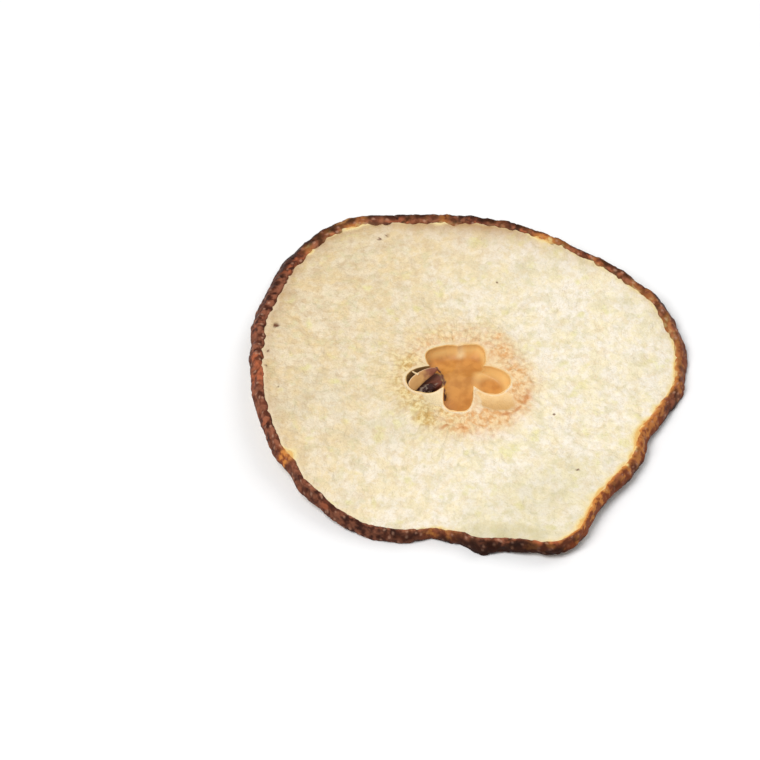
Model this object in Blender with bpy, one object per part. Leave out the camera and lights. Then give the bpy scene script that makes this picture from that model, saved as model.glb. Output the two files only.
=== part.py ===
"""One dried slice of snow pear, cut across the core, lying with its shown face up.

A thin, gently warped disc of dried flesh is ringed by a thicker, knobbly band of skin.
The five seed chambers of the core join into one star-shaped pocket in the shown face, closed
underneath by its own papery lining. A flap of lining and the dried remains of a seed lie in the
left chamber, and two smooth scoops run down to the pocket's near edge.
The slice rests on three low stretches of its skin. The origin is under the middle of its box.
"""
from math import atan2, cos, exp, hypot, pi, radians, sin

import bmesh
import bpy
from mathutils import Matrix, Vector
from mathutils.geometry import delaunay_2d_cdt

MM = 0.001  # every size below is in millimetres, and every angle in degrees

# The outline, seen from above. Angles run counter-clockwise from +X, about the core.
CORE_AT = (-1.7, -1.9)  # the core in the slice's own frame: it is a little off the middle
SKIN_REACH = (  # from the core to the outside of the skin, every 15 degrees
    36.9, 38.8, 37.8, 35.1, 33.6, 34.0, 34.9, 37.9, 42.0, 40.3, 37.9, 35.9,
    34.5, 34.2, 34.0, 34.1, 33.8, 32.3, 31.5, 34.3, 37.0, 34.1, 33.3, 33.2,
)
SKIN_LEAN = (1.9, 2.7, 1.9, 2.8, 3.7, 2.9, 2.2, 1.6, 1.1, 1.2, 1.1, 1.7)  # every 30 degrees
SKIN_NICKS = (  # angle, spread and how far the edge moves out (+) or in (-)
    (27, 3.0, 0.6), (34, 2.2, -0.3), (40, 2.5, 0.4), (52, 3.0, -0.3),  # waves of the right side
    (80, 3.0, -0.4), (86, 2.0, 0.6), (101, 4.0, -0.3), (134, 3.5, 0.6),  # waves of the far side
    (262, 5.0, -1.0),  # dent beside the torn tip
    (275, 2.6, 1.4),  # torn tip
    (294, 3.0, 1.0),  # corner
    (311, 5.0, -1.1),  # start of the drawn-in stretch
)
SKIN_KNOBS = ((23, 0.10, 1.0), (31, 0.09, 2.1), (17, 0.08, 4.0))  # per turn, size, phase

# Heights
FLESH_THICKNESS = 2.3
SKIN_HEIGHT = 2.9  # dried skin keeps its height better than flesh
SKIN_UNDER = 1.6  # how far the skin reaches in under the slice
MIDDLE_HEIGHT = 3.17  # of the slice's middle surface at the core
WARP_RADIUS = 36.0
WARP_WAVES = ((3, 1.7, 70.0), (2, 0.7, 40.0), (1, 1.37, 110.0))  # per turn, size, angle of a crest
SWELL = 0.12  # slow rise and fall of the flesh

# The core, in its own frame
RING_RADIUS = 9.0  # the gritty ring round the seed chambers dries less and stands proud
RING_SPREAD = 2.2
RING_RISE = 0.3
BACK_RISE = 0.4  # on the other face the core's tough end bulges a little
HUB = (0.3, 1.5)  # the point that all chambers open towards
CHAMBERS = (  # middle, half length, half width, turn, squareness of its ends
    ((-0.5, 1.8), 3.8, 2.4, 0, 2.0),  # where the chambers meet
    ((-0.3, -2.6), 4.4, 2.5, 86, 3.2),  # near
    ((5.0, -0.35), 3.45, 2.6, -22, 2.3),  # right
    ((1.4, 4.2), 2.9, 2.6, 5, 3.0),  # far right
    ((-2.6, 4.4), 3.1, 2.15, 14, 2.8),  # far left
    ((-5.5, -0.4), 3.5, 2.7, 18, 2.3),  # left
)
POCKET_DEPTH = 2.2
POCKET_FOOT = ((0.6, 0.05), (0.15, 0.25), (0.0, 0.55))  # height over the floor, draw-in there
SCOOPS = (  # middle, half length, half width, turn, depth
    ((5.6, -4.4), 4.3, 2.4, -20, 0.55),
    ((-4.2, -3.9), 2.6, 1.7, -40, 0.40),
)
FLAP_SIZE, FLAP_AT = (7.0, 2.4, 0.6), (-6.2, 0.2, 1.15)  # the last figure is over the floor
FLAP_TURN, FLAP_LEAN = 42, 52
SEED_SIZE, SEED_AT = (4.8, 1.7, 1.3), (-4.9, -0.9, 0.4)
SEED_TURN = 35

# How finely the faces are split
SKIN_STEPS = 180
FLESH_RINGS = (  # share of the way from the core to the skin band, points round the ring
    (0.955, 112), (0.89, 84), (0.80, 72), (0.70, 64), (0.60, 58), (0.50, 52),
    (0.42, 50), (0.35, 50), (0.29, 48), (0.24, 44), (0.19, 36), (0.14, 26), (0.09, 16), (0.04, 6),
)
CHAMBER_STEPS = 96
CHAMBER_MARCH = 0.05  # step of the search for a chamber's wall

SKIN_COLOUR = (0.115, 0.040, 0.020)
FLESH_COLOUR = (0.86, 0.75, 0.52)


def around(values, angle):
    """A smooth closed curve through values spaced evenly round the slice."""
    count = len(values)
    place = angle / (2 * pi) * count
    first = int(place // 1)
    share = place - first
    a, b, c, d = (values[(first + k) % count] for k in (-1, 0, 1, 2))
    bend = share * (2 * a - 5 * b + 4 * c - d + share * (3 * (b - c) + d - a))
    return b + 0.5 * share * (c - a + bend)


def skin_reach(angle):
    """From the core to the outside of the skin, with its nicks and knobs."""
    reach = around(SKIN_REACH, angle)
    for at, spread, amount in SKIN_NICKS:
        turn = (angle - radians(at) + pi) % (2 * pi) - pi
        reach += amount * exp(-0.5 * (turn / radians(spread)) ** 2)
    for count, size, phase in SKIN_KNOBS:
        reach += size * sin(count * angle + phase)
    return reach


def middle_height(x, y):
    """Height of the slice's middle surface at a point, in the core's frame."""
    far, angle = hypot(x, y) / WARP_RADIUS, atan2(y, x)
    height = MIDDLE_HEIGHT
    for count, size, crest in WARP_WAVES:
        height += size * far**count * cos(count * (angle - radians(crest)))
    return height + SWELL * sin(0.31 * x + 1.2) * sin(0.27 * y + 0.4)


def local_place(x, y, middle, half_length, half_width, turn):
    """A point in an oval's own frame, where the oval's edge is 1 from its middle."""
    u, v, spin = x - middle[0], y - middle[1], radians(turn)
    along = (u * cos(spin) + v * sin(spin)) / half_length
    across = (v * cos(spin) - u * sin(spin)) / half_width
    return along, across


def face_relief(x, y):
    """How far the shown face stands over the flesh at the gritty ring, or dips in a scoop."""
    off = (hypot(x, y) - RING_RADIUS) / RING_SPREAD
    rise = RING_RISE * exp(-0.5 * off * off)
    for middle, half_length, half_width, turn, depth in SCOOPS:
        far = hypot(*local_place(x, y, middle, half_length, half_width, turn))
        rise -= depth * max(1 - far * far, 0.0)
    return rise


def back_relief(x, y):
    """How far the other face bulges down at the core."""
    return BACK_RISE * exp(-0.5 * (hypot(x, y) / RING_RADIUS) ** 4)


def skin_section(angle):
    """Reach and height over the middle surface, from the flesh on top to the flesh below."""
    out, lean = skin_reach(angle), around(SKIN_LEAN, angle)
    half, knob = SKIN_HEIGHT / 2, 0.12 * sin(29 * angle + 0.7)
    return (
        (out - lean, FLESH_THICKNESS / 2),
        (out - 0.80 * lean, half + knob),
        (out - 0.45 * lean, 0.92 * half + knob),
        (out - 0.10 * lean, 0.10 * half),
        (out, -0.44 * half),
        (out - 0.15, -0.84 * half),
        (out - 0.70, -half),
        (out - SKIN_UNDER, -FLESH_THICKNESS / 2),
    )


def at_core(x, y, height):
    """A point of the core's frame in the slice's own, no lower than what it rests on."""
    return Vector((x + CORE_AT[0], y + CORE_AT[1], max(height, 0.0))) * MM


def flesh_plan():
    """Points of one face in the core's frame, the skin's edge first, and its triangles."""
    turns = [2 * pi * i / SKIN_STEPS for i in range(SKIN_STEPS)]
    edge = [(skin_section(t)[0][0], t) for t in turns]
    plan = [(r * cos(t), r * sin(t)) for r, t in edge]
    for row, (share, count) in enumerate(FLESH_RINGS):
        for i in range(count):
            t = 2 * pi * (i + 0.5 * (row % 2)) / count
            r = share * (around(SKIN_REACH, t) - around(SKIN_LEAN, t))
            plan.append((r * cos(t), r * sin(t)))
    border = [list(range(SKIN_STEPS))]
    split = delaunay_2d_cdt([Vector(p) for p in plan], [], border, 1, 1e-6)
    source = [first[0] for first in split[3]]
    return plan, [[source[i] for i in face] for face in split[2]]


def new_object(name, mesh_tool, collection):
    """An object from a bmesh, with its faces pointing out."""
    bmesh.ops.recalc_face_normals(mesh_tool, faces=mesh_tool.faces)
    mesh = bpy.data.meshes.new(name)
    mesh_tool.to_mesh(mesh)
    mesh_tool.free()
    piece = bpy.data.objects.new(name, mesh)
    collection.objects.link(piece)
    return piece


def slice_body(collection):
    """Flesh above and below on one plan of triangles, joined round the edge by the skin."""
    plan, triangles = flesh_plan()
    tool = bmesh.new()
    above, below = [], []
    for x, y in plan:
        middle = middle_height(x, y)
        top = middle + FLESH_THICKNESS / 2 + face_relief(x, y)
        above.append(tool.verts.new(at_core(x, y, top)))
    sections = []
    for i in range(SKIN_STEPS):
        angle = 2 * pi * i / SKIN_STEPS
        column = [above[i]]
        for r, height in skin_section(angle)[1:]:
            x, y = r * cos(angle), r * sin(angle)
            column.append(tool.verts.new(at_core(x, y, middle_height(x, y) + height)))
        sections.append(column)
        below.append(column[-1])
    # The face below has the same plan, drawn out to meet the skin's lower edge.
    for x, y in plan[SKIN_STEPS:]:
        angle, far = atan2(y, x), hypot(x, y)
        top_edge = around(SKIN_REACH, angle) - around(SKIN_LEAN, angle)
        low_edge = around(SKIN_REACH, angle) - SKIN_UNDER
        grow = 1 + (low_edge - top_edge) / top_edge * (far / top_edge)
        x, y = x * grow, y * grow
        low = middle_height(x, y) - FLESH_THICKNESS / 2 - back_relief(x, y)
        below.append(tool.verts.new(at_core(x, y, low)))
    for face in triangles:
        tool.faces.new([above[i] for i in face])
        tool.faces.new([below[i] for i in reversed(face)])
    for here, there in zip(sections, sections[1:] + sections[:1]):
        for k in range(len(here) - 1):
            tool.faces.new((here[k], there[k], there[k + 1], here[k + 1]))
    bmesh.ops.triangulate(tool, faces=[f for f in tool.faces if len(f.verts) > 3])
    return new_object("pear_slice", tool, collection)


def in_chambers(x, y):
    """Whether a point is inside any chamber, seen from above."""
    for middle, half_length, half_width, turn, squareness in CHAMBERS:
        along, across = local_place(x, y, middle, half_length, half_width, turn)
        if abs(along) ** squareness + abs(across) ** squareness < 1:
            return True
    return False


def chamber_reach(angle):
    """From the hub to the chambers' wall along a bearing."""
    reach = 0.0
    while in_chambers(HUB[0] + reach * cos(angle), HUB[1] + reach * sin(angle)):
        reach += CHAMBER_MARCH
    return reach


def pocket_floor(x, y):
    """Height of the pocket's floor at a point."""
    return middle_height(x, y) + FLESH_THICKNESS / 2 - POCKET_DEPTH


def pocket_cutter(collection):
    """A plug in the chambers' outline, with a rounded foot at the pocket's floor."""
    turns = [2 * pi * i / CHAMBER_STEPS for i in range(CHAMBER_STEPS)]
    reaches = [chamber_reach(t) for t in turns]
    levels = ((2 * POCKET_DEPTH, 0.0),) + POCKET_FOOT
    tool = bmesh.new()
    rows = []
    for over, inset in levels:
        row = []
        for t, reach in zip(turns, reaches):
            x = HUB[0] + (reach - inset) * cos(t)
            y = HUB[1] + (reach - inset) * sin(t)
            row.append(tool.verts.new(at_core(x, y, pocket_floor(x, y) + over)))
        rows.append(row)
    for upper, lower in zip(rows, rows[1:]):
        for i in range(CHAMBER_STEPS):
            j = (i + 1) % CHAMBER_STEPS
            tool.faces.new((upper[i], upper[j], lower[j], lower[i]))
    for row, over in ((rows[0], levels[0][0]), (rows[-1], 0.0)):
        centre = tool.verts.new(at_core(*HUB, pocket_floor(*HUB) + over))
        for i in range(CHAMBER_STEPS):
            tool.faces.new((row[i], row[(i + 1) % CHAMBER_STEPS], centre))
    return shaping_tool("chambers_cutter", tool, collection)


def egg(name, size, place, turn, lean, collection):
    """A rounded body lying in the pocket, to be fused to it."""
    tool = bmesh.new()
    bmesh.ops.create_uvsphere(tool, u_segments=14, v_segments=8, radius=0.5)
    shape = Matrix.Rotation(radians(turn), 4, "Z") @ Matrix.Rotation(radians(lean), 4, "X")
    shape = Matrix.Scale(MM, 4) @ shape @ Matrix.Diagonal((*size, 1.0))
    bmesh.ops.transform(tool, matrix=shape, verts=tool.verts)
    x, y, over = place
    bmesh.ops.translate(tool, vec=at_core(x, y, pocket_floor(x, y) + over), verts=tool.verts)
    return shaping_tool(name, tool, collection)


def shaping_tool(name, mesh_tool, collection):
    """An object that only shapes the slice, shown as wire and never rendered."""
    shaper = new_object(name, mesh_tool, collection)
    shaper.hide_render = True
    shaper.display_type = "WIRE"
    return shaper


def combine(piece, other, operation):
    """A Boolean with another object, left as a modifier."""
    change = piece.modifiers.new(other.name, "BOOLEAN")
    change.operation = operation
    change.object = other
    change.solver = "EXACT"


def dried_material(name, colour, roughness):
    """A plain dried surface."""
    material = bpy.data.materials.new(name)
    material.use_nodes = True
    shader = material.node_tree.nodes["Principled BSDF"]
    shader.inputs["Base Color"].default_value = (*colour, 1.0)
    shader.inputs["Roughness"].default_value = roughness
    shader.inputs["Metallic"].default_value = 0.0
    return material


def paint(piece):
    """Flesh on the faces, skin on the band round the edge."""
    piece.data.materials.append(dried_material("dried_flesh", FLESH_COLOUR, 0.75))
    piece.data.materials.append(dried_material("dried_skin", SKIN_COLOUR, 0.5))
    for face in piece.data.polygons:
        x = face.center.x / MM - CORE_AT[0]
        y = face.center.y / MM - CORE_AT[1]
        angle = atan2(y, x)
        top_edge = skin_section(angle)[0][0]
        low_edge = skin_section(angle)[-1][0]
        edge = top_edge if face.normal.z > 0 else low_edge
        face.material_index = 1 if hypot(x, y) > edge else 0
    piece.data.shade_smooth()
    piece.data.set_sharp_from_angle(angle=radians(50))


def build():
    """The slice, and the tools that shape it, each in a collection of its own."""
    for old in list(bpy.data.objects):
        bpy.data.objects.remove(old, do_unlink=True)
    parts = bpy.data.collections.new("dried_snow_pear_slice")
    tools = bpy.data.collections.new("cutters")
    for group in (parts, tools):
        bpy.context.scene.collection.children.link(group)
    piece = slice_body(parts)
    paint(piece)
    combine(piece, pocket_cutter(tools), "DIFFERENCE")
    combine(piece, egg("lining_flap", FLAP_SIZE, FLAP_AT, FLAP_TURN, FLAP_LEAN, tools), "UNION")
    combine(piece, egg("seed_remains", SEED_SIZE, SEED_AT, SEED_TURN, 0, tools), "UNION")


build()
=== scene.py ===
"""Looks for one dried slice of snow pear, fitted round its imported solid, pear_slice.

Six pieces stand for the solid: the flesh, the ring of skin, the lining of the seed chambers, and
in the left chamber a torn flap of lining, the remains of a seed and a pale fibre. Lengths are in
millimetres until a mesh is made, and positions are measured from the core, as for the solid.
Bearings are in degrees from the right, over the far side. The masks that colour a piece are
stored on its mesh as colour attributes.
"""
from math import cos, radians, sin

import bmesh
import bpy
import numpy as np
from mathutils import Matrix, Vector, noise


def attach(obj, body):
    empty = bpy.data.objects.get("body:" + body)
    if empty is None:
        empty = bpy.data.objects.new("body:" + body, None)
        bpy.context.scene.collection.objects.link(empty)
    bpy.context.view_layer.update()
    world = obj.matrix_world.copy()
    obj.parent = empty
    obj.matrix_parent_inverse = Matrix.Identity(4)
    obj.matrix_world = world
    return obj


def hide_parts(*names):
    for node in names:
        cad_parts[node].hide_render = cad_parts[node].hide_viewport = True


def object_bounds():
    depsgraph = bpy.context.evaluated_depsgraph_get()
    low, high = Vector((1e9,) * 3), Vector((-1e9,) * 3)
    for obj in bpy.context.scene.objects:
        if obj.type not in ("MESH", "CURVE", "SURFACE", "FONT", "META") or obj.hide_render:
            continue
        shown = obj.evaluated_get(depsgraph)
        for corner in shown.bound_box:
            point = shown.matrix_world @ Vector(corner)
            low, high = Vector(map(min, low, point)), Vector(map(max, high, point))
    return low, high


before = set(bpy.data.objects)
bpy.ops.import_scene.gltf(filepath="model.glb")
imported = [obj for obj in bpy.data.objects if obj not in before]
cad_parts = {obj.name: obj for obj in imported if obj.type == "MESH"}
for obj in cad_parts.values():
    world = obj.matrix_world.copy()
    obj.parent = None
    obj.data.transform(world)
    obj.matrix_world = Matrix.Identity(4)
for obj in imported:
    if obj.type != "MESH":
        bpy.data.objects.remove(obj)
CAD_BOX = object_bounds()

MM = 0.001
FAR_OFF = 99.0  # farther than any distance that is measured

# The slice's form, as the solid has it
CORE_AT = (-1.7, -1.9)  # the core in the slice's own frame
SKIN_REACH = (  # from the core to the outside of the skin, every 15 degrees
    36.9, 38.8, 37.8, 35.1, 33.6, 34.0, 34.9, 37.9, 42.0, 40.3, 37.9, 35.9,
    34.5, 34.2, 34.0, 34.1, 33.8, 32.3, 31.5, 34.3, 37.0, 34.1, 33.3, 33.2,
)
SKIN_LEAN = (1.9, 2.7, 1.9, 2.8, 3.7, 2.9, 2.2, 1.6, 1.1, 1.2, 1.1, 1.7)  # every 30 degrees
SKIN_NICKS = (  # bearing, spread and how far the edge moves out (+) or in (-)
    (27, 3.0, 0.6), (34, 2.2, -0.3), (40, 2.5, 0.4), (52, 3.0, -0.3),
    (80, 3.0, -0.4), (86, 2.0, 0.6), (101, 4.0, -0.3), (134, 3.5, 0.6),
    (262, 5.0, -1.0), (275, 2.6, 1.4), (294, 3.0, 1.0), (311, 5.0, -1.1),
)
SKIN_KNOBS = ((23, 0.1, 1.0), (31, 0.09, 2.1), (17, 0.08, 4.0))  # per turn, size, phase
TOP_KNOBS = (29, 0.12, 0.7)  # the same, for the height of the skin's top
FLESH_HALF = 1.15  # half of the flesh's thickness
SKIN_HALF = 1.45  # half of the skin's height
SKIN_UNDER = 1.6  # how far the skin reaches in under the slice
MIDDLE_HEIGHT = 3.17  # of the slice's middle surface, without its warp and swell
WARP_RADIUS = 36.0
WARP_WAVES = ((3, 1.7, 70.0), (2, 0.7, 40.0), (1, 1.37, 110.0))  # per turn, size, a crest's bearing
SWELL = 0.12  # slow rise and fall of the flesh
SWELL_ACROSS, SWELL_AWAY = (0.31, 1.2), (0.27, 0.4)  # radians for each millimetre, phase
RING_RADIUS, RING_SPREAD, RING_RISE = 9.0, 2.2, 0.3  # the gritty ring round the seed chambers
BACK_RISE = 0.4  # of the core's tough end on the other face
HUB = (0.3, 1.5)  # the point that all chambers open towards
CHAMBERS = (  # middle, half length, half width, turn, squareness of its ends
    ((-0.5, 1.8), 3.8, 2.4, 0, 2.0),  # where the chambers meet
    ((-0.3, -2.6), 4.4, 2.5, 86, 3.2),  # near
    ((5.0, -0.35), 3.45, 2.6, -22, 2.3),  # right
    ((1.4, 4.2), 2.9, 2.6, 5, 3.0),  # far right
    ((-2.6, 4.4), 3.1, 2.15, 14, 2.8),  # far left
    ((-5.5, -0.4), 3.5, 2.7, 18, 2.3),  # left
)
RIGHT_CHAMBER, LEFT_CHAMBER = CHAMBERS[2], CHAMBERS[5]
POCKET_DEPTH = 2.2
SCOOPS = (  # middle, half length, half width, turn, depth
    ((5.6, -4.4), 4.3, 2.4, -20, 0.55),
    ((-4.2, -3.9), 2.6, 1.7, -40, 0.4),
)

# Beside and at the torn tip the top's slant is narrower (-) or wider (+) than the solid's
LEAN_SHIFTS = ((262, 4.0, -0.6), (275, 3.0, 0.6))  # bearing, spread, change

# How finely the pieces are split
FLESH_TURNS, FACE_RINGS, BACK_RINGS = 640, 118, 24
SKIN_TURNS, SKIN_ROWS = 1400, 44
LINING_TURNS, FLOOR_RINGS, WALL_RINGS = 480, 34, 14
CHAMBER_MARCH = 0.01  # step of the search for the chambers' wall


def curve(a, b, c, d, share):
    """A smooth curve from b to c, where a comes before them and d after them."""
    bend = share * (2 * a - 5 * b + 4 * c - d + share * (3 * (b - c) + d - a))
    return b + 0.5 * share * (c - a + bend)


def around(values, angle):
    """A smooth closed curve through values spaced evenly round the slice."""
    values = np.asarray(values, float)
    place = angle / (2 * np.pi) * len(values)
    first = np.floor(place).astype(int)
    return curve(*(values[(first + k) % len(values)] for k in (-1, 0, 1, 2)), place - first)


def bell(offset):
    """A bell curve: 1 at 0, and 0.61 at 1."""
    return np.exp(-0.5 * offset * offset)


def fade(low, high, value):
    """0 below low and 1 above high, or the other way round, with a soft change between."""
    share = np.clip((value - low) / (high - low), 0, 1)
    return share * share * (3 - 2 * share)


def turn_between(angle, bearing):
    """How far an angle is from a bearing, in degrees from -180 to 180."""
    return (np.degrees(angle) - bearing + 180) % 360 - 180


def toward(angle, bearing, lost, full):
    """1 for angles within so many degrees of a bearing, and 0 where the side is lost."""
    return fade(lost, full, abs(turn_between(angle, bearing)))


def with_bumps(value, angle, bumps):
    """A value with a bell curve added to it at each bearing: bearing, spread, amount."""
    for at, spread, amount in bumps:
        value = value + amount * bell(turn_between(angle, at) / spread)
    return value


def skin_reach(angle):
    """From the core to the outside of the skin, with its nicks and knobs."""
    reach = with_bumps(around(SKIN_REACH, angle), angle, SKIN_NICKS)
    for count, size, phase in SKIN_KNOBS:
        reach = reach + size * np.sin(count * angle + phase)
    return reach


def skin_lean(angle):
    """How wide the skin's slanting top is."""
    return with_bumps(around(SKIN_LEAN, angle), angle, LEAN_SHIFTS)


def skin_edge(angle):
    """From the core to where the flesh of the shown face ends."""
    return skin_reach(angle) - skin_lean(angle)


def middle_height(x, y):
    """Height of the slice's middle surface."""
    far, angle = np.hypot(x, y) / WARP_RADIUS, np.arctan2(y, x)
    swell = SWELL * np.sin(SWELL_ACROSS[0] * x + SWELL_ACROSS[1])
    height = MIDDLE_HEIGHT + swell * np.sin(SWELL_AWAY[0] * y + SWELL_AWAY[1])
    for count, size, crest in WARP_WAVES:
        height = height + size * far**count * np.cos(count * (angle - radians(crest)))
    return height


def local_place(x, y, middle, half_length, half_width, turn):
    """A point in an oval's own frame, where the oval's edge is 1 from its middle."""
    u, v, spin = x - middle[0], y - middle[1], radians(turn)
    along = (u * cos(spin) + v * sin(spin)) / half_length
    across = (v * cos(spin) - u * sin(spin)) / half_width
    return along, across


def oval_gap(x, y, oval):
    """How far a point is from an oval's middle, with the oval's edge at 1."""
    return np.hypot(*local_place(x, y, *oval[:4]))


def scoop_dips(x, y):
    """For each smooth scoop, how deep it is at a point, from 0 at its edge to 1 at its middle."""
    return [np.maximum(1 - oval_gap(x, y, scoop) ** 2, 0) for scoop in SCOOPS]


def face_height(x, y):
    """Height of the shown face."""
    ring = bell((np.hypot(x, y) - RING_RADIUS) / RING_SPREAD)
    height = middle_height(x, y) + FLESH_HALF + RING_RISE * ring
    for dip, (*_, depth) in zip(scoop_dips(x, y), SCOOPS):
        height = height - depth * dip
    return height


def back_height(x, y):
    """Height of the other face, which bulges at the core's tough end."""
    bulge = BACK_RISE * np.exp(-0.5 * (np.hypot(x, y) / RING_RADIUS) ** 4)
    return middle_height(x, y) - FLESH_HALF - bulge


def chamber_reach(angle):
    """From the hub to the chambers' wall along each bearing."""
    reach = np.zeros_like(angle)
    inside = np.ones_like(angle, bool)
    while inside.any():
        reach[inside] += CHAMBER_MARCH
        x, y = HUB[0] + reach * np.cos(angle), HUB[1] + reach * np.sin(angle)
        inside = np.zeros_like(inside)
        for *oval, squareness in CHAMBERS:
            along, across = local_place(x, y, *oval)
            inside |= abs(along) ** squareness + abs(across) ** squareness < 1
    return reach


def noise_at(points, size, seed=0.0):
    """Soft noise from -1 to 1 at each point, with features about size apart."""
    places = np.asarray(points) / size + (seed, 1.7 * seed, -seed)
    return np.array([noise.noise(p) for p in places.reshape(-1, 3).tolist()])


def waves_at(points, *waves):
    """Noise summed at each point, where each wave is its strength, size and seed."""
    return sum(strength * noise_at(points, size, seed) for strength, size, seed in waves)


def scatter_at(a, b, seed, around_count=None):
    """For points on a plane: nearest and second distance to one jittered spot in each unit
    square, and a draw for the nearest. With around_count, the plane closes on itself along a."""
    squares = (97, 89)  # after so many squares the spots repeat
    table = np.random.default_rng(seed).random((*squares, 3))
    base_a, base_b = np.floor(a).astype(int), np.floor(b).astype(int)
    near, second, draw = np.full(a.shape, FAR_OFF), np.full(a.shape, FAR_OFF), np.zeros(a.shape)
    for step_a in (-1, 0, 1):
        for step_b in (-1, 0, 1):
            square_a, square_b = base_a + step_a, base_b + step_b
            key = square_a % around_count if around_count else square_a
            spot = table[key % squares[0], square_b % squares[1]]
            far = np.hypot(square_a + spot[..., 0] - a, square_b + spot[..., 1] - b)
            closer = far < near
            second = np.where(closer, near, np.minimum(second, far))
            near, draw = np.where(closer, far, near), np.where(closer, spot[..., 2], draw)
    return near, second, draw


def radial_places(x, y, spread, length):
    """Places for noise that is drawn out along the bearing from the core."""
    angle, far = np.arctan2(y, x), np.hypot(x, y)
    return np.stack([spread * np.cos(angle), spread * np.sin(angle), far / length], -1)


def even_turns(count):
    """Angles spaced evenly round the slice, with their cosines and sines."""
    turns = 2 * np.pi * np.arange(count) / count
    return turns, np.cos(turns), np.sin(turns)


def in_scene(name, data):
    """A new object, linked to the scene."""
    item = bpy.data.objects.new(name, data)
    bpy.context.scene.collection.objects.link(item)
    return item


def ring_body(name, rings, looped=False):
    """A closed body through rings of points, with its two ends filled or joined to each other."""
    count, turns = rings.shape[:2]
    points = rings.reshape(-1, 3) + (*CORE_AT, 0)
    index = np.arange(count * turns).reshape(count, turns)
    here = index if looped else index[:-1]
    there = np.roll(index, -1, 0) if looped else index[1:]
    quads = np.stack([here, np.roll(here, -1, 1), np.roll(there, -1, 1), there], -1)
    faces = quads.reshape(-1, 4).tolist()
    if not looped:
        ends = [points[index[k]].mean(0) for k in (0, -1)]
        for k, ring in enumerate((index[0], index[-1])):
            middle = len(points) + k
            faces += [(a, b, middle) for a, b in zip(ring, np.roll(ring, -1))]
        points = np.vstack([points, ends])
    low, high = (np.array(corner) / MM for corner in CAD_BOX)
    points = np.clip(points, low, high) * MM
    mesh = bpy.data.meshes.new(name)
    mesh.from_pydata(points.tolist(), [], faces)
    tool = bmesh.new()
    tool.from_mesh(mesh)
    bmesh.ops.recalc_face_normals(tool, faces=tool.faces)
    tool.to_mesh(mesh)
    tool.free()
    mesh.shade_smooth()
    return in_scene(name, mesh)


def tint(piece, name, *channels):
    """Stores up to three masks, each from 0 to 1 at every point, as one colour attribute. The
    points that fill a body's two ends take the mask's first and last values."""
    values = np.ones((len(piece.data.vertices), 4))
    values[:, :3] = 0
    for k, channel in enumerate(channels):
        channel = np.asarray(channel).ravel()
        ends = (channel[0], channel[-1])[:len(values) - len(channel)]
        values[:, k] = np.clip((*channel, *ends), 0, 1)
    layer = piece.data.color_attributes.new(name, "FLOAT_COLOR", "POINT")
    layer.data.foreach_set("color", values.ravel())


def dress(piece, look):
    """A material, and the body and solid that the piece belongs to."""
    piece.data.materials.append(look.material)
    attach(piece, "root")
    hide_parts("pear_slice")


# Materials

LIT = 1.07  # how bright a flat white face is in the scene's light
FIBRES_FAR = (24.0, 8.0)  # how far from the core the fibres that point at it are lost, and full
FIBRES_ACROSS = (16.0, -4.0)  # the same, from the right to the left


def tone(red, green, blue):
    """A colour given as it looks on an sRGB screen in the scene's light, from 0 to 255."""
    screen = np.array((red, green, blue)) / 255
    linear = np.where(screen > 0.04045, ((screen + 0.055) / 1.055) ** 2.4, screen / 12.92)
    return (*(linear / LIT).tolist(), 1.0)


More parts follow.
